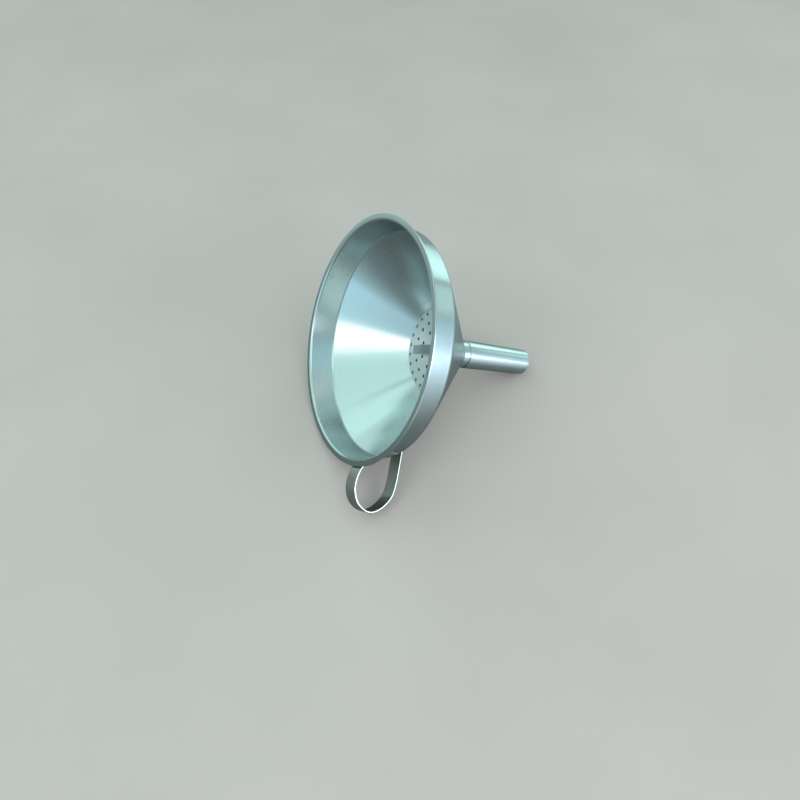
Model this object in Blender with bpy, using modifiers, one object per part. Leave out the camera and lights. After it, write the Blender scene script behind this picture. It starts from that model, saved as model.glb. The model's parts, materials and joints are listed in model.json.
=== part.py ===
"""Steel hand funnel with a loop handle and a lift-out strainer, lying on its side.

The turned parts share one axis, an empty at the centre of the mouth whose +Z points out of the mouth.
Depths are measured from the mouth plane towards the spout, so a depth is minus the local Z.
The assembly rests on the bend between band and cone, the spout's tip and the loop handle.
"""

import math

import bmesh
import bpy
from mathutils import Euler, Vector

# Driving dimensions, in metres.
SHEET = 0.0007              # sheet thickness of the bowl
GAP = 0.0003                # clearance between touching pieces

MOUTH_RADIUS = 0.0650       # outer edge of the lip flange
BAND_TOP_RADIUS = 0.0615    # inside of the band, at the mouth plane
BAND_LOW_RADIUS = 0.05955   # inside of the band, where the cone starts
BAND_DEPTH = 0.0141
CONE_SLOPE = 1.0865         # radius lost for each unit of depth
NECK_TOP_RADIUS = 0.0063    # inside of the drawn neck
NECK_END_RADIUS = 0.0061
NECK_END_DEPTH = 0.0740

LIP_BEND = 0.0016
SHOULDER_BEND = 0.0022
NECK_BEND = 0.0040

SPOUT_TOP_DEPTH = 0.0672
SPOUT_END_DEPTH = 0.1124
SPOUT_TOP_RADIUS = 0.00802
SPOUT_END_RADIUS = 0.00738
SPOUT_WALL = 0.00072

STRIP_THICKNESS = 0.0008
STRIP_WIDTH = 0.0096
HANDLE_ANGLE = math.radians(49.8)   # round the axis, from straight down towards -Y
HANDLE_FOOT_DEPTH = 0.0125          # free end of the foot on the band
HANDLE_BEND_DEPTH = 0.0054          # where that foot turns outwards
REAR_FOOT_BEND_DEPTH = 0.0272       # where the rear limb meets the cone
REAR_FOOT_LENGTH = 0.0070

DISC_DEPTH = 0.0456         # top of the strainer plate
DISC_SHEET = 0.0006
DISC_BEND = 0.0009
SKIRT_DEPTH = 0.0020
HOLE_RADIUS = 0.00095
HOLE_SIDES = 10
OUTER_RING_RADIUS = 0.0220
MIDDLE_RING_RADIUS = 0.0161
INNER_RING_RADIUS = 0.0102

PULL_ANGLE = math.radians(-45.7)    # direction of the strap, measured like HANDLE_ANGLE
PULL_WIDTH = 0.0050
PULL_THICKNESS = 0.0007
PULL_HEIGHT = 0.0052
PULL_TOP_HALF = 0.0052      # half the length of the raised flat
PULL_FOOT_START = 0.0108
PULL_FOOT_END = 0.0175

TURN_STEPS = 64
ARC_STEPS = 5
HANDLE_STEPS = 5

STEEL = (0.62, 0.66, 0.66, 1.0)
PLATE = (0.50, 0.56, 0.57, 1.0)


def cone_radius(depth):
    """Inside radius of the cone at a depth."""
    return BAND_LOW_RADIUS - CONE_SLOPE * (depth - BAND_DEPTH)


def cone_depth(radius):
    """Depth at which the cone's inside has a radius."""
    return BAND_DEPTH + (BAND_LOW_RADIUS - radius) / CONE_SLOPE


def band_radius(depth):
    """Inside radius of the band at a depth."""
    return BAND_TOP_RADIUS + (BAND_LOW_RADIUS - BAND_TOP_RADIUS) * depth / BAND_DEPTH


def rounded(corners):
    """Turn (x, z, bend radius) corners into a line whose bends are arcs."""
    line = [Vector(corners[0][:2])]
    for before, corner, after in zip(corners, corners[1:], corners[2:]):
        here = Vector(corner[:2])
        to_before = (Vector(before[:2]) - here).normalized()
        to_after = (Vector(after[:2]) - here).normalized()
        half = to_before.angle(to_after) / 2
        centre = here + (to_before + to_after).normalized() * corner[2] / math.sin(half)
        start = here + to_before * corner[2] / math.tan(half) - centre
        end = here + to_after * corner[2] / math.tan(half) - centre
        for step in range(ARC_STEPS + 1):
            spoke = start.lerp(end, step / ARC_STEPS).normalized()
            line.append(centre + spoke * corner[2])
    line.append(Vector(corners[-1][:2]))
    return line


def smooth_line(points, steps):
    """Catmull-Rom curve through the points."""
    padded = [points[0] * 2 - points[1], *points, points[-1] * 2 - points[-2]]
    line = []
    for a, b, c, d in zip(padded, padded[1:], padded[2:], padded[3:]):
        for step in range(steps):
            t = step / steps
            line.append(0.5 * (2 * b + (c - a) * t + (2 * a - 5 * b + 4 * c - d) * t ** 2
                               + (3 * b - a - 3 * c + d) * t ** 3))
    line.append(points[-1])
    return line


def clear_scene():
    """Remove every object, so that the script can run again in an open file."""
    for item in list(bpy.data.objects):
        bpy.data.objects.remove(item, do_unlink=True)


def new_collection(name):
    """Make a collection under the scene's own."""
    collection = bpy.data.collections.new(name)
    bpy.context.scene.collection.children.link(collection)
    return collection


def new_material(name, colour, roughness):
    """Plain metal material."""
    material = bpy.data.materials.new(name)
    material.use_nodes = True
    shader = material.node_tree.nodes["Principled BSDF"]
    shader.inputs["Base Color"].default_value = colour
    shader.inputs["Roughness"].default_value = roughness
    shader.inputs["Metallic"].default_value = 1.0
    return material


def new_object(name, mesh, collection, parent, material=None):
    """Put a mesh in the assembly, under the axis."""
    item = bpy.data.objects.new(name, mesh)
    collection.objects.link(item)
    item.parent = parent
    if material is not None:
        mesh.materials.append(material)
    return item


def line_mesh(name, line, closed=False):
    """Mesh of one line in the XZ plane."""
    mesh = bpy.data.meshes.new(name)
    edges = [(i, i + 1) for i in range(len(line) - 1)]
    if closed:
        edges.append((len(line) - 1, 0))
    mesh.from_pydata([(p.x, 0.0, p.y) for p in line], edges, [])
    return mesh


def turn(item):
    """Revolve a line about the object's Z axis."""
    screw = item.modifiers.new("Turn", "SCREW")
    screw.axis = "Z"
    screw.steps = TURN_STEPS
    screw.render_steps = TURN_STEPS
    screw.use_merge_vertices = True
    screw.merge_threshold = 0.00001
    screw.use_smooth_shade = True


def thicken(item, thickness, offset):
    """Give a surface its sheet thickness."""
    solid = item.modifiers.new("Sheet", "SOLIDIFY")
    solid.thickness = thickness
    solid.offset = offset
    solid.use_even_offset = True


def strip(name, line, width, thickness, collection, parent, material):
    """Flat strip that follows a line in its own XZ plane."""
    mesh = bpy.data.meshes.new(name)
    shape = bmesh.new()
    rows = []
    for point in line:
        low = shape.verts.new((point.x, -width / 2, point.y))
        high = shape.verts.new((point.x, width / 2, point.y))
        rows.append((low, high))
    for (a, b), (c, d) in zip(rows, rows[1:]):
        shape.faces.new((a, b, d, c))
    shape.to_mesh(mesh)
    shape.free()
    mesh.shade_smooth()
    item = new_object(name, mesh, collection, parent, material)
    thicken(item, thickness, 0.0)
    return item


def make_bowl(collection, axis, material):
    """Lip, band, cone and neck in one sheet, drawn by its inside and thickened outwards."""
    profile = rounded([
        (MOUTH_RADIUS, 0.0, 0.0),
        (BAND_TOP_RADIUS, 0.0, LIP_BEND),
        (BAND_LOW_RADIUS, -BAND_DEPTH, SHOULDER_BEND),
        (NECK_TOP_RADIUS, -cone_depth(NECK_TOP_RADIUS), NECK_BEND),
        (NECK_END_RADIUS, -NECK_END_DEPTH, 0.0),
    ])
    bowl = new_object("funnel_bowl", line_mesh("funnel_bowl", profile), collection, axis, material)
    turn(bowl)
    thicken(bowl, SHEET, 1.0)
    return bowl


def make_spout(collection, axis, material):
    """Tapered tube over the neck."""
    section = [
        Vector((SPOUT_TOP_RADIUS, -SPOUT_TOP_DEPTH)),
        Vector((SPOUT_END_RADIUS, -SPOUT_END_DEPTH)),
        Vector((SPOUT_END_RADIUS - SPOUT_WALL, -SPOUT_END_DEPTH)),
        Vector((SPOUT_TOP_RADIUS - SPOUT_WALL, -SPOUT_TOP_DEPTH)),
    ]
    mesh = line_mesh("spout_tube", section, closed=True)
    turn(new_object("spout_tube", mesh, collection, axis, material))


def handle_line():
    """Middle of the handle strip, as (radius, minus depth): foot, loop, foot."""
    lift = SHEET * 1.01 + GAP + STRIP_THICKNESS / 2
    slant = math.hypot(1.0, CONE_SLOPE)
    front_start = Vector((band_radius(HANDLE_FOOT_DEPTH) + lift, -HANDLE_FOOT_DEPTH))
    front_bend = Vector((band_radius(HANDLE_BEND_DEPTH) + lift, -HANDLE_BEND_DEPTH))
    rear_bend = Vector((cone_radius(REAR_FOOT_BEND_DEPTH) + lift * slant, -REAR_FOOT_BEND_DEPTH))
    rear_end = rear_bend + Vector((-CONE_SLOPE, -1.0)) / slant * REAR_FOOT_LENGTH
    loop = smooth_line([
        Vector((0.0636, -0.0034)),
        Vector((0.0662, -0.0012)),
        Vector((0.0710, 0.0009)),
        Vector((0.0766, 0.0016)),
        Vector((0.0830, -0.0004)),
        Vector((0.0872, -0.0050)),
        Vector((0.0881, -0.0095)),
        Vector((0.0860, -0.0150)),
        Vector((0.0808, -0.0204)),
        Vector((0.0740, -0.0229)),
        Vector((0.0640, -0.0246)),
        Vector((0.0530, -0.0262)),
    ], HANDLE_STEPS)
    return [front_start, front_bend, *loop, rear_bend, rear_end]


def make_handle(collection, axis, material):
    """Loop handle, in the half plane that HANDLE_ANGLE names."""
    handle = strip("loop_handle", handle_line(), STRIP_WIDTH, STRIP_THICKNESS, collection, axis, material)
    handle.rotation_euler = Euler((0.0, 0.0, math.pi + HANDLE_ANGLE))


def hole_places():
    """Centres of the strainer's holes, with the strap along X and none under its feet."""
    rings = ((OUTER_RING_RADIUS, 24, 0.5), (MIDDLE_RING_RADIUS, 16, 0.0), (INNER_RING_RADIUS, 8, 0.5))
    for radius, count, phase in rings:
        for index in range(count):
            angle = (index + phase) * math.tau / count
            place = Vector((radius * math.cos(angle), radius * math.sin(angle), -DISC_DEPTH))
            if abs(place.y) > PULL_WIDTH / 2:
                yield place


def make_hole_cutter(collection, axis):
    """All the strainer's holes as one cutter."""
    mesh = bpy.data.meshes.new("strainer_holes")
    shape = bmesh.new()
    for place in hole_places():
        made = bmesh.ops.create_cone(shape, cap_ends=True, segments=HOLE_SIDES, radius1=HOLE_RADIUS,
                                     radius2=HOLE_RADIUS, depth=DISC_SHEET * 6)
        bmesh.ops.translate(shape, verts=made["verts"], vec=place)
    shape.to_mesh(mesh)
    shape.free()
    cutter = new_object("strainer_holes", mesh, collection, axis)
    cutter.rotation_euler = Euler((0.0, 0.0, math.pi + PULL_ANGLE))
    cutter.hide_render = True
    cutter.display_type = "WIRE"
    return cutter


def make_strainer_disc(collection, cutters, axis, material):
    """Perforated plate with a short skirt that seats on the cone."""
    slant = math.hypot(1.0, CONE_SLOPE)
    edge = cone_radius(DISC_DEPTH) - GAP * 1.2 * slant
    profile = rounded([
        (0.0, -DISC_DEPTH, 0.0),
        (edge, -DISC_DEPTH, DISC_BEND),
        (edge - CONE_SLOPE * SKIRT_DEPTH, -DISC_DEPTH - SKIRT_DEPTH, 0.0),
    ])
    disc = new_object("strainer_disc", line_mesh("strainer_disc", profile), collection, axis, material)
    turn(disc)
    thicken(disc, DISC_SHEET, -1.0)
    cut = disc.modifiers.new("Holes", "BOOLEAN")
    cut.operation = "DIFFERENCE"
    cut.solver = "EXACT"
    cut.object = make_hole_cutter(cutters, axis)


def make_strainer_pull(collection, axis, material):
    """Strap bridged across the strainer plate."""
    low = -DISC_DEPTH + GAP + PULL_THICKNESS / 2
    high = -DISC_DEPTH + PULL_HEIGHT - PULL_THICKNESS / 2
    bend = PULL_THICKNESS * 1.6
    half = [
        (PULL_FOOT_END, low, 0.0),
        (PULL_FOOT_START, low, bend),
        (PULL_TOP_HALF, high, bend),
    ]
    mirrored = [(-x, z, radius) for x, z, radius in reversed(half)]
    pull = strip("strainer_pull", rounded(half + mirrored), PULL_WIDTH, PULL_THICKNESS, collection, axis,
                 material)
    pull.rotation_euler = Euler((0.0, 0.0, math.pi + PULL_ANGLE))


def evaluated_points(item):
    """World positions of an object's vertices once its modifiers are applied."""
    bpy.context.view_layer.update()
    solid = item.evaluated_get(bpy.context.evaluated_depsgraph_get())
    return [item.matrix_world @ vertex.co for vertex in solid.data.vertices]


def lay_on_side(axis, bowl):
    """Tip the axis until the bowl's outside and the spout's tip stand on one level."""
    drop = max(
        math.atan2(math.hypot(point.x, point.y) - SPOUT_END_RADIUS, SPOUT_END_DEPTH + point.z)
        for point in evaluated_points(bowl)
        if point.z > -BAND_DEPTH * 2
    )
    axis.rotation_euler = Euler((0.0, drop - math.pi / 2, 0.0))


def centre_on_origin(axis, collection):
    """Put the assembly's lowest point on Z = 0 and its middle over the origin."""
    points = []
    for item in collection.objects:
        if item.type == "MESH":
            points.extend(evaluated_points(item))
    low = Vector([min(point[i] for point in points) for i in range(3)])
    high = Vector([max(point[i] for point in points) for i in range(3)])
    axis.location = Vector((-(low.x + high.x) / 2, -(low.y + high.y) / 2, -low.z))


def main():
    clear_scene()
    assembly = new_collection("hand_funnel")
    cutters = new_collection("cutters")
    axis = bpy.data.objects.new("funnel_axis", None)
    assembly.objects.link(axis)
    bowl = make_bowl(assembly, axis, new_material("bowl_steel", STEEL, 0.30))
    make_spout(assembly, axis, new_material("spout_steel", STEEL, 0.28))
    make_handle(assembly, axis, new_material("handle_steel", STEEL, 0.32))
    make_strainer_disc(assembly, cutters, axis, new_material("strainer_steel", PLATE, 0.42))
    make_strainer_pull(assembly, axis, new_material("pull_steel", PLATE, 0.38))
    lay_on_side(axis, bowl)
    centre_on_origin(axis, assembly)


main()
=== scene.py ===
"""Look of the steel hand funnel: spun bowl, spout tube, strip handle and perforated strainer.

Every visible piece is made here from the dimensions that its CAD node has, in the funnel's own frame:
local +Z points out of the mouth along the axis, and local -X is the side that lies lowest.
"""
import json
import math

import bmesh
import bpy
from mathutils import Matrix, Vector


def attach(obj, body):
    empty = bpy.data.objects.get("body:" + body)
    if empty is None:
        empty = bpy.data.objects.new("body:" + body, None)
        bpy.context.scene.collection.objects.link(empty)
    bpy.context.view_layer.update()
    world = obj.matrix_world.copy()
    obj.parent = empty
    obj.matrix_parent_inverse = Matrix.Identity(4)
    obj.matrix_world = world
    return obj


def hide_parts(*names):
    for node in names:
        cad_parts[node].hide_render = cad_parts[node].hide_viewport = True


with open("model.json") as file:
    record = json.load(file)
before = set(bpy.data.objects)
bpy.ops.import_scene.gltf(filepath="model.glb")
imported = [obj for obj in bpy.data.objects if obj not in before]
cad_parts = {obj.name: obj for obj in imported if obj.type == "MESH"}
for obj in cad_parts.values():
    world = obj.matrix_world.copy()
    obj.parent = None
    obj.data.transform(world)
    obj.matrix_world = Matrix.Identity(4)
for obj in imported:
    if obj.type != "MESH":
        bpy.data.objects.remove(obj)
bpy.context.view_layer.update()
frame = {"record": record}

# Dimensions in metres, as in the CAD.
SHEET = 0.0007
GAP = 0.0003
MOUTH_RADIUS = 0.0650
BAND_TOP_RADIUS = 0.0615
BAND_LOW_RADIUS = 0.05955
BAND_DEPTH = 0.0141
CONE_SLOPE = 1.0865
NECK_RADIUS = 0.0069
NECK_STEP_START = 0.0669    # the neck narrows here to enter the spout tube
NECK_STEP_END = 0.0673
NECK_END_RADIUS = 0.0064
NECK_END_DEPTH = 0.0740
LIP_BEND = 0.0016
SHOULDER_BEND = 0.0022
NECK_BEND = 0.0016
NECK_STEP_BEND = 0.0003
LIP_POINT_RADIUS = 0.0642   # where the record's lip_face mount lies on the flange

SPOUT_TOP_DEPTH = 0.0672
SPOUT_END_DEPTH = 0.1124
SPOUT_TOP_RADIUS = 0.00802
SPOUT_END_RADIUS = 0.00738
SPOUT_WALL = 0.00072
SHEET_CORNER = 0.00022
SPOUT_CORNER = 0.00014

STRIP_THICKNESS = 0.0008
STRIP_WIDTH = 0.0096
STRIP_CORNER = 0.00016
HANDLE_ANGLE = math.radians(49.8)
HANDLE_FOOT_DEPTH = 0.0125
HANDLE_BEND_DEPTH = 0.0054
REAR_FOOT_BEND_DEPTH = 0.0272
REAR_FOOT_LENGTH = 0.0070
HANDLE_LOOP = (
    (0.0636, -0.0034), (0.0662, -0.0012), (0.0710, 0.0009), (0.0766, 0.0016), (0.0830, -0.0004),
    (0.0872, -0.0050), (0.0881, -0.0095), (0.0860, -0.0150), (0.0808, -0.0204), (0.0740, -0.0229),
    (0.0640, -0.0246), (0.0530, -0.0262),
)

DISC_DEPTH = 0.0456
DISC_SHEET = 0.0006
DISC_GAP = 0.0002
DISC_BEND = 0.0006
DISC_FLAT_END = 0.0017      # from the bend's corner to the end of the flat, just before the bend
SKIRT_DEPTH = 0.0020
HOLE_RADIUS = 0.00095
HOLE_LEAD_IN = 0.00008
HOLE_SHADE = -3.0            # edge mask on a hole's wall, where it paints shade that darkens the wall; 1 is rubbed bright
OUTER_RING_RADIUS = 0.0220
MIDDLE_RING_RADIUS = 0.0161
INNER_RING_RADIUS = 0.0102

PULL_ANGLE = math.radians(-45.7)
PULL_WIDTH = 0.0050
PULL_THICKNESS = 0.0007
PULL_HEIGHT = 0.0052
PULL_TOP_HALF = 0.0052
PULL_FOOT_START = 0.0108
PULL_FOOT_END = 0.0175

WELD_RADIUS = 0.0016
WELD_DEPTH = 0.00012

TURN_STEPS = 256
ARC_STEPS = 8
CAP_STEPS = 4
CURVE_STEPS = 12
HOLE_SIDES = 24
STRIP_STEP = 0.0004
MERGE_DISTANCE = 0.000002
STRIP_CREASE = math.radians(50)
PLATE_CREASE = math.radians(28)
FLAT_CREASE = math.radians(2)
FLAT_NORMAL = 0.999         # a plate's face with at least this much of its normal along the axis is flat


# ---------------------------------------------------------------- places

def mount(name):
    """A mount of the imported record."""
    return next(item for item in frame["record"]["mounts"] if item["name"] == name)


def funnel_matrix():
    """The funnel's own frame: origin at the mouth's centre, +Z out of the mouth."""
    lip = mount("lip_face")
    out = Vector(lip["axis"]).normalized()
    up = (Vector((0.0, 0.0, 1.0)) - out * out.z).normalized()
    side = out.cross(up)
    centre = Vector(lip["pos_m"]) - up * LIP_POINT_RADIUS
    turned = Matrix((up, side, out)).transposed().to_4x4()
    return Matrix.Translation(centre) @ turned


FUNNEL = funnel_matrix()


def about_axis(angle):
    """Turn of a strip's own XZ plane to an angle from straight down."""
    return Matrix.Rotation(math.pi + angle, 4, "Z")


def cone_radius(depth):
    """Inside radius of the cone at a depth."""
    return BAND_LOW_RADIUS - CONE_SLOPE * (depth - BAND_DEPTH)


def cone_depth(radius):
    """Depth at which the cone's inside has a radius."""
    return BAND_DEPTH + (BAND_LOW_RADIUS - radius) / CONE_SLOPE


def band_radius(depth):
    """Inside radius of the band at a depth."""
    return BAND_TOP_RADIUS + (BAND_LOW_RADIUS - BAND_TOP_RADIUS) * depth / BAND_DEPTH


# ---------------------------------------------------------------- lines and sections

def facing(heading):
    """Normal on the right of a direction of travel."""
    return Vector((heading.y, -heading.x))


def bent_line(corners):
    """(point, direction) pairs along (x, z, bend radius) corners, with arcs at the bends."""
    places = [Vector(corner[:2]) for corner in corners]
    line = [(places[0], (places[1] - places[0]).normalized())]
    for index in range(1, len(corners) - 1):
        before = (places[index] - places[index - 1]).normalized()
        after = (places[index + 1] - places[index]).normalized()
        turn = math.atan2(before.x * after.y - before.y * after.x, before.dot(after))
        radius = corners[index][2]
        start = places[index] - before * radius * math.tan(abs(turn) / 2)
        side = -facing(before) if turn > 0 else facing(before)
        centre = start + side * radius
        for step in range(ARC_STEPS + 1):
            spin = Matrix.Rotation(turn * step / ARC_STEPS, 2)
            line.append((centre - spin @ side * radius, spin @ before))
    line.append((places[-1], (places[-1] - places[-2]).normalized()))
    return line


def rounded_end(centre, normal, heading, half, corner):
    """(point, normal) pairs round a sheet's cut end, from a normal over a heading to its opposite."""
    cap = []
    for quarter, side in enumerate((1.0, -1.0)):
        hub = centre + normal * side * (half - corner)
        for step in range(CAP_STEPS + 1):
            angle = (quarter + step / CAP_STEPS) * math.pi / 2
            spoke = normal * math.cos(angle) + heading * math.sin(angle)
            cap.append((hub + spoke * corner, spoke))
    return cap


def sheet_section(line, thickness, corner):
    """Closed section of a sheet: the line is its face on the right, and its cut ends are rounded."""
    half = thickness / 2
    first, last = line[0], line[-1]
    line = [
        (first[0] + first[1] * corner, first[1]),
        *line[1:-1],
        (last[0] - last[1] * corner, last[1]),
    ]
    face = [(point, facing(heading)) for point, heading in line]
    back = [(point - normal * thickness, -normal) for point, normal in reversed(face)]
    end_point, end_normal = face[-1]
    start_point, start_normal = face[0]
    end = rounded_end(end_point - end_normal * half, end_normal, last[1], half, corner)
    start = rounded_end(start_point - start_normal * half, -start_normal, -first[1], half, corner)
    section = [(point, normal, 0.0) for point, normal in face[1:-1]]
    section += [(point, normal, 1.0) for point, normal in end]
    section += [(point, normal, 0.0) for point, normal in back[1:-1]]
    section += [(point, normal, 1.0) for point, normal in start]
    return section


def smooth_line(points, steps):
    """Catmull-Rom curve through the points."""
    padded = [points[0] * 2 - points[1], *points, points[-1] * 2 - points[-2]]
    line = []
    for a, b, c, d in zip(padded, padded[1:], padded[2:], padded[3:]):
        for step in range(steps):
            t = step / steps
            line.append(0.5 * (2 * b + (c - a) * t + (2 * a - 5 * b + 4 * c - d) * t ** 2
                               + (3 * b - a - 3 * c + d) * t ** 3))
    line.append(points[-1])
    return line


def even_line(line, step):
    """The same line with points a step apart."""
    reach = [0.0]
    for a, b in zip(line, line[1:]):
        reach.append(reach[-1] + (b - a).length)
    count = max(2, round(reach[-1] / step))
    even, piece = [], 0
    for index in range(count + 1):
        want = reach[-1] * index / count
        while piece < len(line) - 2 and reach[piece + 1] < want:
            piece += 1
        share = (want - reach[piece]) / (reach[piece + 1] - reach[piece])
        even.append(line[piece].lerp(line[piece + 1], share))
    return even, reach[-1]


# ---------------------------------------------------------------- meshes

def finish_mesh(mesh, grain, edge, uv):
    """Store the grain coordinates, the edge mask and the UVs that the materials read."""
    mesh.attributes.new("grain", "FLOAT_VECTOR", "POINT").data.foreach_set(
        "vector", [value for place in grain for value in place])
    mesh.attributes.new("edge", "FLOAT", "POINT").data.foreach_set("value", edge)
    layer = mesh.uv_layers.new(name="UVMap")
    layer.data.foreach_set("uv", [value for pair in uv for value in pair])


def new_piece(name, mesh, node, body, material):
    """Add a mesh that is already in the row frame, riding on its body in place of its CAD node."""
    piece = bpy.data.objects.new(name, mesh)
    bpy.context.scene.collection.objects.link(piece)
    mesh.materials.append(material)
    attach(piece, body)
    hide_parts(node)


def turned_mesh(name, section):
    """Revolve a closed section about Z, with exact normals."""
    count = len(section)
    reach = [0.0]
    for (a, _, _), (b, _, _) in zip(section, section[1:] + section[:1]):
        reach.append(reach[-1] + (b - a).length)
    verts, normals, grain, edge = [], [], [], []
    for step in range(TURN_STEPS):
        angle = math.tau * step / TURN_STEPS
        cos, sin = math.cos(angle), math.sin(angle)
        for index, (point, normal, mask) in enumerate(section):
            verts.append((point.x * cos, point.x * sin, point.y))
            normals.append((normal.x * cos, normal.x * sin, normal.y))
            grain.append((cos * BAND_LOW_RADIUS, sin * BAND_LOW_RADIUS, reach[index]))
            edge.append(mask)
    faces, uv = [], []
    for step in range(TURN_STEPS):
        after = (step + 1) % TURN_STEPS
        for index in range(count):
            along = (index + 1) % count
            faces.append((step * count + index, after * count + index,
                          after * count + along, step * count + along))
            u, u_after = step / TURN_STEPS, (step + 1) / TURN_STEPS
            near, far = reach[index], reach[index + 1]
            uv += [(u, near), (u_after, near), (u_after, far), (u, far)]
    mesh = bpy.data.meshes.new(name)
    mesh.from_pydata(verts, [], faces)
    mesh.transform(FUNNEL)
    finish_mesh(mesh, grain, edge, uv)
    mesh.shade_smooth()
    spin = FUNNEL.to_3x3()
    mesh.normals_split_custom_set_from_vertices([spin @ Vector(normal) for normal in normals])
    return mesh


def strip_section(width, thickness, corner):
    """Closed outline of a strip across its length as (across, through, edge mask)."""
    half_width, half_thick = width / 2 - corner, thickness / 2 - corner
    faces = max(4, round(width / STRIP_STEP))
    outline = []
    for index in range(faces + 1):
        outline.append((-half_width + 2 * half_width * index / faces, thickness / 2, 0.0))
    for quarter, (x, z) in enumerate(((half_width, half_thick), (half_width, -half_thick))):
        for step in range(1, 4 + (quarter == 0)):
            angle = math.pi / 2 - (quarter + step / 4) * math.pi / 2
            outline.append((x + corner * math.cos(angle), z + corner * math.sin(angle), 1.0))
    outline += [(-x, -z, mask) for x, z, mask in outline]
    return outline


def strip_mesh(name, line, width, thickness, welds, flip, angle):
    """Strip swept along a line in a half plane of the axis, with shallow spot-weld dimples on one face."""
    points, length = even_line(line, STRIP_STEP)
    section = strip_section(width, thickness, STRIP_CORNER)
    verts, grain, edge = [], [], []
    for index, point in enumerate(points):
        before, after = points[max(0, index - 1)], points[min(len(points) - 1, index + 1)]
        normal = facing((after - before).normalized())
        reach = length * index / (len(points) - 1)
        run = 0.0
        for spot, (across, through, mask) in enumerate(section):
            last = section[spot - 1]
            run += math.hypot(across - last[0], through - last[1]) if spot else 0.0
            depth = 0.0
            if through * flip > thickness * 0.4 and not mask:
                for weld in welds:
                    near = math.hypot(reach - weld, across) / WELD_RADIUS
                    depth += WELD_DEPTH * (1 - near ** 2) ** 2 if near < 1 else 0.0
            place = point + normal * (through - depth * flip)
            verts.append((place.x, across, place.y))
            grain.append((reach, 0.0, run))
            end_mask = 1.0 if index in (0, len(points) - 1) else 0.0
            edge.append(max(mask, end_mask))
    count = len(section)
    faces, uv = [], []
    for row in range(len(points) - 1):
        for index in range(count):
            along = (index + 1) % count
            corners = (row * count + index, row * count + along,
                       (row + 1) * count + along, (row + 1) * count + index)
            faces.append(corners)
            far = grain[corners[1]][2] if along else grain[corners[0]][2] + STRIP_STEP
            near = grain[corners[0]][2]
            here, there = grain[corners[0]][0], grain[corners[3]][0]
            uv += [(here, near), (here, far), (there, far), (there, near)]
    faces.append(tuple(range(count))[::-1])
    faces.append(tuple(range((len(points) - 1) * count, len(points) * count)))
    uv += [(verts[i][0], verts[i][1]) for face in faces[-2:] for i in face]
    mesh = bpy.data.meshes.new(name)
    mesh.from_pydata(verts, [], faces)
    finish_mesh(mesh, grain, edge, uv)
    mesh.shade_smooth()
    shape = bmesh.new()
    shape.from_mesh(mesh)
    bmesh.ops.recalc_face_normals(shape, faces=shape.faces)
    for rim in shape.edges:
        rim.smooth = rim.calc_face_angle(0.0) < STRIP_CREASE
    shape.to_mesh(mesh)
    shape.free()
    mesh.transform(FUNNEL @ about_axis(angle))
    return mesh


# ---------------------------------------------------------------- pieces

def bowl_section():
    """Lip, band, cone and neck as one rounded sheet."""
    return sheet_section(bent_line([
        (MOUTH_RADIUS, 0.0, 0.0),
        (BAND_TOP_RADIUS, 0.0, LIP_BEND),
        (BAND_LOW_RADIUS, -BAND_DEPTH, SHOULDER_BEND),
        (NECK_RADIUS, -cone_depth(NECK_RADIUS), NECK_BEND),
        (NECK_RADIUS, -NECK_STEP_START, NECK_STEP_BEND),
        (NECK_END_RADIUS, -NECK_STEP_END, NECK_STEP_BEND),
        (NECK_END_RADIUS, -NECK_END_DEPTH, 0.0),
    ]), SHEET, SHEET_CORNER)


def spout_section():
    """Tapered tube with rounded ends; the line is its bore."""
    return sheet_section(bent_line([
        (SPOUT_TOP_RADIUS - SPOUT_WALL, -SPOUT_TOP_DEPTH, 0.0),
        (SPOUT_END_RADIUS - SPOUT_WALL, -SPOUT_END_DEPTH, 0.0),
    ]), SPOUT_WALL, SPOUT_CORNER)


def handle_line():
    """Middle of the handle strip, as (radius, minus depth): foot, loop, foot."""
    lift = SHEET * 1.01 + GAP + STRIP_THICKNESS / 2
    slant = math.hypot(1.0, CONE_SLOPE)
    front_start = Vector((band_radius(HANDLE_FOOT_DEPTH) + lift, -HANDLE_FOOT_DEPTH))
    front_bend = Vector((band_radius(HANDLE_BEND_DEPTH) + lift, -HANDLE_BEND_DEPTH))
    rear_bend = Vector((cone_radius(REAR_FOOT_BEND_DEPTH) + lift * slant, -REAR_FOOT_BEND_DEPTH))
    rear_end = rear_bend + Vector((-CONE_SLOPE, -1.0)) / slant * REAR_FOOT_LENGTH
    front = [front_start, front_start.lerp(front_bend, 0.5), front_start.lerp(front_bend, 0.85), front_bend]
    rear = [rear_bend, rear_bend.lerp(rear_end, 0.15), rear_bend.lerp(rear_end, 0.5), rear_end]
    return smooth_line([*front, *(Vector(place) for place in HANDLE_LOOP), *rear], CURVE_STEPS)


def pull_line():
    """Middle of the strap: foot, riser, raised flat, riser, foot."""
    low = -DISC_DEPTH + GAP + PULL_THICKNESS / 2
    high = -DISC_DEPTH + PULL_HEIGHT - PULL_THICKNESS / 2
    bend = PULL_THICKNESS * 1.6
    half = [(PULL_FOOT_END, low, 0.0), (PULL_FOOT_START, low, bend), (PULL_TOP_HALF, high, bend)]
    mirrored = [(-x, z, radius) for x, z, radius in reversed(half)]
    return [point for point, _ in bent_line(half + mirrored)]


def hole_places():
    """Centres of the strainer's holes, with the strap along X and none under its feet."""
    rings = ((OUTER_RING_RADIUS, 24, 0.5), (MIDDLE_RING_RADIUS, 16, 0.0), (INNER_RING_RADIUS, 8, 0.5))
    for radius, count, phase in rings:
        for index in range(count):
            angle = (index + phase) * math.tau / count
            place = Vector((radius * math.cos(angle), radius * math.sin(angle), 0.0))
            if abs(place.y) > PULL_WIDTH / 2:
                yield place


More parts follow.
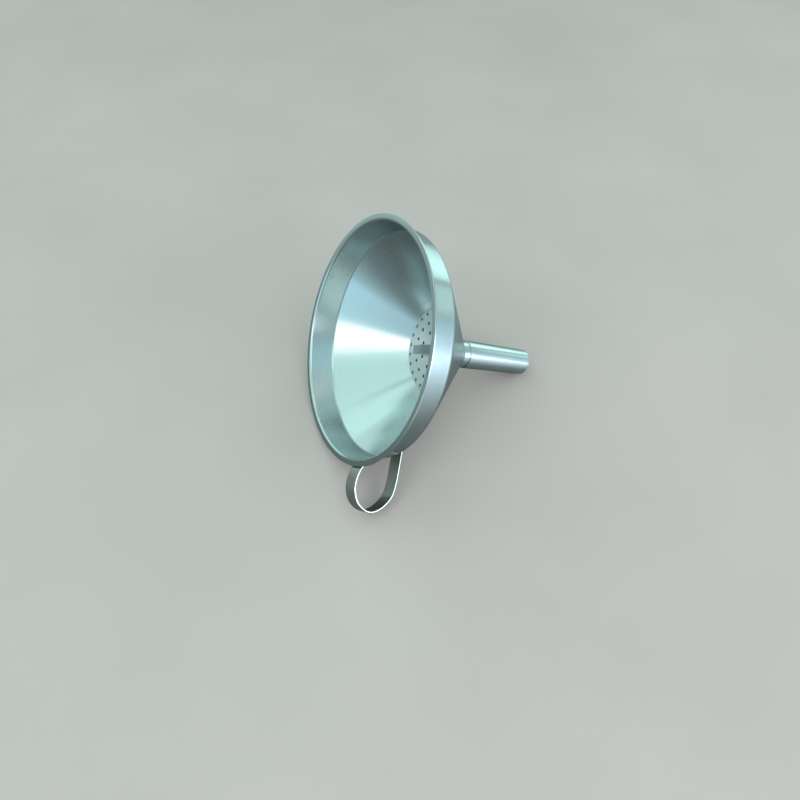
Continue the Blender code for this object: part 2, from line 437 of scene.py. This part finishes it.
def hole_cutter():
    """All the strainer's punched holes, each with a small rolled lead-in at the top."""
    heights = (
        (HOLE_RADIUS + HOLE_LEAD_IN * 2.2, HOLE_LEAD_IN),
        (HOLE_RADIUS + HOLE_LEAD_IN * 0.4, -HOLE_LEAD_IN * 0.6),
        (HOLE_RADIUS, -HOLE_LEAD_IN * 1.5),
        (HOLE_RADIUS, -DISC_SHEET * 2),
    )
    shape = bmesh.new()
    for place in hole_places():
        rings = []
        for radius, height in heights:
            ring = []
            for side in range(HOLE_SIDES):
                angle = math.tau * side / HOLE_SIDES
                offset = Vector((radius * math.cos(angle), radius * math.sin(angle), height - DISC_DEPTH))
                ring.append(shape.verts.new(place + offset))
            rings.append(ring)
        for upper, lower in zip(rings, rings[1:]):
            for side in range(HOLE_SIDES):
                after = (side + 1) % HOLE_SIDES
                shape.faces.new((upper[side], lower[side], lower[after], upper[after]))
        shape.faces.new(rings[0])
        shape.faces.new(rings[-1][::-1])
    mesh = bpy.data.meshes.new("strainer_holes")
    shape.to_mesh(mesh)
    shape.free()
    cutter = bpy.data.objects.new("strainer_holes", mesh)
    bpy.context.scene.collection.objects.link(cutter)
    return cutter


def plate_object():
    """Strainer plate without its holes: a flat top, a bend and a short skirt, 0.6 mm thick."""
    slant = math.hypot(1.0, CONE_SLOPE)
    edge = cone_radius(DISC_DEPTH) - DISC_GAP * slant
    line = bent_line([
        (0.0, -DISC_DEPTH, 0.0),
        (edge - DISC_FLAT_END, -DISC_DEPTH, 0.0),
        (edge, -DISC_DEPTH, DISC_BEND),
        (edge - CONE_SLOPE * SKIRT_DEPTH, -DISC_DEPTH - SKIRT_DEPTH, 0.0),
    ])
    top = [point for point, _ in line]
    under = [point + facing(heading) * DISC_SHEET for point, heading in reversed(line)]
    shape = bmesh.new()
    section = [shape.verts.new((point.x, 0.0, point.y)) for point in top + under]
    rim = [shape.edges.new(pair) for pair in zip(section, section[1:])]
    bmesh.ops.spin(shape, geom=section + rim, axis=(0.0, 0.0, 1.0), cent=(0.0, 0.0, 0.0),
                   steps=TURN_STEPS // 2, angle=math.tau, use_merge=True)
    bmesh.ops.remove_doubles(shape, verts=shape.verts, dist=MERGE_DISTANCE)
    bmesh.ops.recalc_face_normals(shape, faces=shape.faces)
    mesh = bpy.data.meshes.new("strainer_plate")
    shape.to_mesh(mesh)
    shape.free()
    plate = bpy.data.objects.new("strainer_plate", mesh)
    bpy.context.scene.collection.objects.link(plate)
    return plate


def wear_and_hole_shade_mask(place, rim_radius):
    """1 on the plate's bend, which is rubbed bright, and a negative value on a hole's wall, which paints
    shade there.
    """
    if place.xy.length > rim_radius:
        return 1.0
    return HOLE_SHADE if place.z < -DISC_DEPTH - HOLE_LEAD_IN * 0.4 else 0.0


def perforated_mesh():
    """Strainer plate with its holes cut."""
    plate, cutter = plate_object(), hole_cutter()
    cut = plate.modifiers.new("Holes", "BOOLEAN")
    cut.operation = "DIFFERENCE"
    cut.solver = "EXACT"
    cut.use_self = True
    cut.object = cutter
    bpy.context.view_layer.update()
    mesh = bpy.data.meshes.new_from_object(plate.evaluated_get(bpy.context.evaluated_depsgraph_get()))
    bpy.data.objects.remove(plate)
    bpy.data.objects.remove(cutter)
    mesh.name = "strainer_disc_look"
    mesh.shade_smooth()
    shape = bmesh.new()
    shape.from_mesh(mesh)
    for rim in shape.edges:
        flat = any(abs(face.normal.z) > FLAT_NORMAL for face in rim.link_faces)
        rim.smooth = rim.calc_face_angle(0.0) < (FLAT_CREASE if flat else PLATE_CREASE)
    shape.to_mesh(mesh)
    shape.free()
    grain = [(vert.co.x, 0.0, vert.co.y) for vert in mesh.vertices]
    rim_radius = cone_radius(DISC_DEPTH) - DISC_BEND * 2
    edge = [wear_and_hole_shade_mask(vert.co, rim_radius) for vert in mesh.vertices]
    uv = [mesh.vertices[loop.vertex_index].co.xy for loop in mesh.loops]
    finish_mesh(mesh, grain, edge, uv)
    mesh.transform(FUNNEL @ about_axis(PULL_ANGLE))
    return mesh


# ---------------------------------------------------------------- materials

# How far each layer of detail moves the steel's tone and roughness.
LINE_TONE = 0.016
STREAK_TONE = 0.012
SMUDGE_TONE = 0.012
SCRATCH_TONE = 0.015
EDGE_TONE = 0.10
DARKEST = 0.62
LIGHTEST = 1.38
LINE_ROUGHNESS = 0.02
STREAK_ROUGHNESS = 0.01
SMUDGE_ROUGHNESS = 0.02
EDGE_POLISH = 0.07
SCRATCH_RELIEF = 0.06
RELIEF_HEIGHT = 0.00002

CARD_SHADOW_CENTRE = (-0.12, 0.0, 0.0)    # centre of a painted shadow of the funnel, on the floor in front of the mouth


class Graph:
    """Small helper that adds nodes to a material and links them."""

    def __init__(self, name):
        self.material = bpy.data.materials.new(name)
        self.material.use_nodes = True
        self.tree = self.material.node_tree
        self.shader = self.tree.nodes["Principled BSDF"]

    def add(self, kind, inputs=None, **settings):
        """Add a node; inputs maps a socket's name or number to a value or another socket."""
        node = self.tree.nodes.new(kind)
        for key, value in settings.items():
            setattr(node, key, value)
        for key, value in (inputs or {}).items():
            self.feed(node.inputs[key], value)
        return node

    def feed(self, socket, value):
        """Link or set one socket."""
        if isinstance(value, bpy.types.NodeSocket):
            self.tree.links.new(value, socket)
        else:
            socket.default_value = value

    def math(self, operation, first, second=0.0, clamp=False):
        """One arithmetic step."""
        node = self.add("ShaderNodeMath", {0: first, 1: second}, operation=operation, use_clamp=clamp)
        return node.outputs[0]

    def noise(self, vector, scale, detail=3.0, roughness=0.55):
        """Noise between about 0.3 and 0.7."""
        return self.add("ShaderNodeTexNoise", {
            "Vector": vector, "Scale": scale, "Detail": detail, "Roughness": roughness,
        }).outputs["Fac"]

    def stretch(self, value, low, high, to_low, to_high):
        """Map a range to another, clamped."""
        return self.add("ShaderNodeMapRange", {
            "Value": value, "From Min": low, "From Max": high, "To Min": to_low, "To Max": to_high,
        }).outputs[0]

    def mix(self, share, first, second):
        """Colour between two others."""
        return self.add("ShaderNodeMix", {0: share, 6: first, 7: second}, data_type="RGBA").outputs[2]

    def layers(self, base, *weighted):
        """A base value plus (mask, weight) pairs."""
        for mask, weight in weighted:
            base = self.math("ADD", self.math("MULTIPLY", mask, weight), base)
        return base

    def scaled(self, vector, factors):
        """Multiply a vector."""
        return self.add("ShaderNodeVectorMath", {0: vector, 1: factors}, operation="MULTIPLY").outputs[0]


def brushed_steel(name, tint, roughness, anisotropy, across, along, bump):
    """Steel with brush lines along the grain, blotches of handling, faint scratches, bright cut edges and
    painted shade on the walls of holes.

    tint is the metal's colour, made lighter or darker at some calls as painted light or shade; across and
    along are how many lines a metre holds over and with the grain.
    """
    g = Graph(name)
    grain = g.add("ShaderNodeAttribute", attribute_name="grain").outputs["Vector"]
    place = g.add("ShaderNodeTexCoord").outputs["Object"]
    edge = g.add("ShaderNodeAttribute", attribute_name="edge").outputs["Fac"]
    fine = g.noise(g.scaled(grain, (along, along, across)), 1.0, 4.0, 0.65)
    broad = g.noise(g.scaled(grain, (along * 0.3, along * 0.3, across * 0.12)), 1.0, 2.0)
    blotch = g.noise(place, 38.0, 3.0)
    cloud = g.noise(place, 14.0, 2.0)
    marks = g.noise(g.scaled(grain, (along * 2.5, along * 2.5, across * 0.5)), 1.0, 1.0)

    lines = g.stretch(fine, 0.30, 0.70, -1.0, 1.0)
    streaks = g.stretch(broad, 0.30, 0.70, -1.0, 1.0)
    smudges = g.stretch(blotch, 0.35, 0.65, -1.0, 1.0)
    scratches = g.stretch(marks, 0.70, 0.76, 0.0, 1.0)
    # the edge mask brightens rubbed edges, and where it is negative, on the strainer's hole walls, it
    # darkens them as painted shade
    tone = g.layers(0.5, (lines, LINE_TONE), (streaks, STREAK_TONE), (smudges, SMUDGE_TONE),
                    (scratches, SCRATCH_TONE), (edge, EDGE_TONE))
    tone.node.use_clamp = True
    dark = tuple(channel * DARKEST for channel in tint) + (1.0,)
    light = tuple(min(1.0, channel * LIGHTEST) for channel in tint) + (1.0,)
    warm = (tint[0], tint[1] * 0.97, tint[2] * 0.93, 1.0)
    colour = g.mix(g.stretch(cloud, 0.35, 0.65, 0.0, 0.30), g.mix(tone, dark, light), warm)
    g.feed(g.shader.inputs["Base Color"], colour)

    rough = g.layers(roughness, (lines, LINE_ROUGHNESS), (streaks, STREAK_ROUGHNESS),
                     (smudges, SMUDGE_ROUGHNESS), (edge, -EDGE_POLISH))
    rough.node.use_clamp = True
    g.feed(g.shader.inputs["Roughness"], rough)

    relief = g.layers(fine, (scratches, -SCRATCH_RELIEF))
    bumped = g.add("ShaderNodeBump", {"Strength": bump, "Distance": RELIEF_HEIGHT, "Height": relief})
    g.feed(g.shader.inputs["Normal"], bumped.outputs[0])
    tangent = g.add("ShaderNodeTangent", direction_type="UV_MAP", uv_map="UVMap")
    g.feed(g.shader.inputs["Tangent"], tangent.outputs[0])
    g.shader.inputs["Metallic"].default_value = 1.0
    g.shader.inputs["Anisotropic"].default_value = anisotropy
    g.shader.inputs["Anisotropic Rotation"].default_value = 0.25
    return g.material


def floor_material():
    """Plain pale matte surface with a barely visible mottle."""
    g = Graph("pale_floor")
    place = g.add("ShaderNodeTexCoord").outputs["Object"]
    mottle = g.stretch(g.noise(place, 9.0), 0.3, 0.7, 0.0, 1.0)
    g.feed(g.shader.inputs["Base Color"], g.mix(mottle, (0.64, 0.50, 0.47, 1.0), (0.68, 0.53, 0.50, 1.0)))
    g.feed(g.shader.inputs["Roughness"], g.stretch(mottle, 0.0, 1.0, 0.50, 0.58))
    return g.material


def card_material():
    """Varnished dark table that only the steel's reflections see, with a painted shadow of the funnel that
    makes it darkest in front of the mouth.
    """
    g = Graph("dark_table_card")
    place = g.add("ShaderNodeTexCoord").outputs["Object"]
    mottle = g.stretch(g.noise(g.scaled(place, (3.0, 40.0, 1.0)), 4.0), 0.3, 0.7, 0.0, 1.0)
    # painted shadow: the card darkens towards a point in front of the mouth, where the funnel's shadow
    # falls on the table
    offset = g.add("ShaderNodeVectorMath", {0: place, 1: CARD_SHADOW_CENTRE}, operation="DISTANCE")
    reach = g.stretch(offset.outputs["Value"], 0.05, 0.40, 0.0, 1.0)
    colour = g.mix(reach, (0.05, 0.035, 0.03, 1.0), (0.44, 0.42, 0.41, 1.0))
    grained = g.mix(g.math("MULTIPLY", mottle, 0.25), colour, (0.10, 0.07, 0.05, 1.0))
    g.feed(g.shader.inputs["Base Color"], grained)
    g.feed(g.shader.inputs["Roughness"], g.stretch(mottle, 0.0, 1.0, 0.32, 0.38))
    g.shader.inputs["Specular IOR Level"].default_value = 1.0
    return g.material


# ---------------------------------------------------------------- object

def build_object():
    """Make the five pieces over their CAD nodes."""
    bowl_steel = brushed_steel("bowl_steel", (0.60, 0.655, 0.66), 0.25, 0.72, 7000.0, 16.0, 0.03)
    spout_steel = brushed_steel("spout_steel", (0.56, 0.61, 0.615), 0.26, 0.60, 7000.0, 16.0, 0.04)
    handle_steel = brushed_steel("handle_steel", (0.62, 0.60, 0.565), 0.33, 0.5, 6000.0, 60.0, 0.15)
    # painted light: the strainer is the same steel as the bowl but gets a far lighter tint, so that the
    # plate looks brightly lit
    plate_steel_painted_light = brushed_steel("strainer_steel", (0.92, 0.96, 0.96), 0.45, 0.3, 4000.0, 150.0, 0.10)
    # painted shade: the strap is the same steel as the plate but gets a much darker tint, so that its
    # raised top reads dark
    pull_steel = brushed_steel("pull_steel", (0.36, 0.41, 0.42), 0.38, 0.5, 6000.0, 60.0, 0.12)

    new_piece("bowl_sheet", turned_mesh("bowl_sheet", bowl_section()),
              "funnel_bowl", "funnel", bowl_steel)
    new_piece("spout_sleeve", turned_mesh("spout_sleeve", spout_section()),
              "spout_tube", "funnel", spout_steel)

    line = handle_line()
    foot = HANDLE_FOOT_DEPTH - HANDLE_BEND_DEPTH
    length = even_line(line, STRIP_STEP)[1]
    welds = (foot * 0.42, length - REAR_FOOT_LENGTH * 0.42)
    handle = strip_mesh("handle_strip", line, STRIP_WIDTH, STRIP_THICKNESS, welds, -1.0, HANDLE_ANGLE)
    new_piece("handle_strip", handle, "loop_handle", "funnel", handle_steel)

    new_piece("strainer_plate", perforated_mesh(),
              "strainer_disc", "strainer", plate_steel_painted_light)

    line = pull_line()
    length = even_line(line, STRIP_STEP)[1]
    inset = (PULL_FOOT_END - PULL_FOOT_START) * 0.45
    welds = (inset, length - inset)
    pull = strip_mesh("pull_strap", line, PULL_WIDTH, PULL_THICKNESS, welds, 1.0, PULL_ANGLE)
    new_piece("pull_strap", pull, "strainer_pull", "strainer", pull_steel)


# ---------------------------------------------------------------- stage

FLOOR_SIZE = 30.0
CARD_SIZE = 6.0
CARD_HEIGHT = 0.00004       # just over the floor, so that reflections see the card instead of it
PANEL_DISTANCE = 1.6
PANEL_POWER = 4.0           # watts for each square metre of a panel and unit of its strength

SENSOR_WIDTH = 36.0         # millimetres, like the lens
LENS = 28.8
CAMERA_PLACE = Vector((-0.08774, -0.21724, 0.30475))
CAMERA_DOWN = 52.723        # degrees below the horizontal
CAMERA_TURN = -18.363       # degrees round the vertical, from facing +Y

FOCUS = FUNNEL.translation.copy()
WHITE = (0.95, 1.0, 1.0)
MINT = (0.6, 1.0, 0.95)
SKY = (0.4, 0.8, 1.0)
PALE_SKY = (0.65, 0.85, 1.0)


def direction(azimuth, elevation):
    """Unit vector towards a compass angle from +X and an elevation, in degrees."""
    a, e = math.radians(azimuth), math.radians(elevation)
    return Vector((math.cos(a) * math.cos(e), math.sin(a) * math.cos(e), math.sin(e)))


def panel(name, azimuth, elevation, width, height, strength, colour):
    """Soft light box that faces the funnel."""
    light = bpy.data.lights.new(name, "AREA")
    light.shape = "RECTANGLE"
    light.size = width
    light.size_y = height
    light.energy = strength * width * height * PANEL_POWER
    light.color = colour
    lamp = bpy.data.objects.new(name, light)
    bpy.context.scene.collection.objects.link(lamp)
    towards = direction(azimuth, elevation)
    lamp.location = FOCUS + towards * PANEL_DISTANCE
    lamp.rotation_euler = towards.to_track_quat("Z", "Y").to_euler()
    lamp.visible_camera = False


def build_lights():
    """Soft boxes round the funnel, and a dim even room."""
    world = bpy.data.worlds.new("studio")
    world.use_nodes = True
    background = world.node_tree.nodes["Background"]
    background.inputs["Color"].default_value = (0.8, 1.0, 1.0, 1.0)
    background.inputs["Strength"].default_value = 0.45
    bpy.context.scene.world = world
    panel("window_left", -155.0, 40.0, 0.75, 0.5, 1.8, WHITE)
    panel("low_left", -168.0, 15.0, 1.3, 0.95, 0.7, SKY)
    panel("ceiling_left", 165.0, 60.0, 1.4, 0.9, 0.6, MINT)
    panel("mid_left", 150.0, 25.0, 0.7, 0.7, 0.6, MINT)
    panel("back_high", 115.0, 35.0, 0.9, 0.8, 0.7, MINT)
    panel("back_low", 110.0, 10.0, 1.1, 0.7, 0.5, MINT)
    panel("front_high", -85.0, 65.0, 1.3, 0.9, 0.9, MINT)
    panel("right_high", 40.0, 70.0, 1.2, 0.9, 0.6, MINT)
    panel("right_window", 35.0, 10.0, 0.8, 0.6, 1.1, MINT)
    panel("right_low", 5.0, 10.0, 0.6, 0.5, 0.6, MINT)
    panel("front_right", -20.0, 10.0, 0.6, 0.5, 0.5, SKY)
    panel("front_window", -45.0, 15.0, 0.7, 0.9, 3.0, PALE_SKY)
    panel("front_low", -70.0, 25.0, 0.7, 0.6, 3.0, WHITE)


def plane(name, size, height, material):
    """Square of the stage."""
    bpy.ops.mesh.primitive_plane_add(size=size, location=(0.0, 0.0, height))
    square = bpy.context.object
    square.name = name
    square.data.materials.append(material)
    return square


def build_floor():
    """Pale floor that the funnel lies on, and the dark card that only reflections see."""
    floor = plane("pale_floor", FLOOR_SIZE, 0.0, floor_material())
    card = plane("dark_table_card", CARD_SIZE, CARD_HEIGHT, card_material())
    card.visible_camera = False
    card.visible_diffuse = False
    card.visible_shadow = False
    card.visible_transmission = False


def build_camera():
    """Camera at the photograph's viewing angle."""
    camera = bpy.data.cameras.new("camera")
    camera.sensor_width = SENSOR_WIDTH
    camera.lens = LENS
    camera.clip_start = 0.01
    holder = bpy.data.objects.new("camera", camera)
    bpy.context.scene.collection.objects.link(holder)
    holder.location = CAMERA_PLACE
    holder.rotation_euler = (math.radians(90.0 - CAMERA_DOWN), 0.0, math.radians(CAMERA_TURN))
    bpy.context.scene.camera = holder


build_object()
build_floor()
build_lights()
build_camera()
bpy.context.scene.view_settings.view_transform = "Standard"
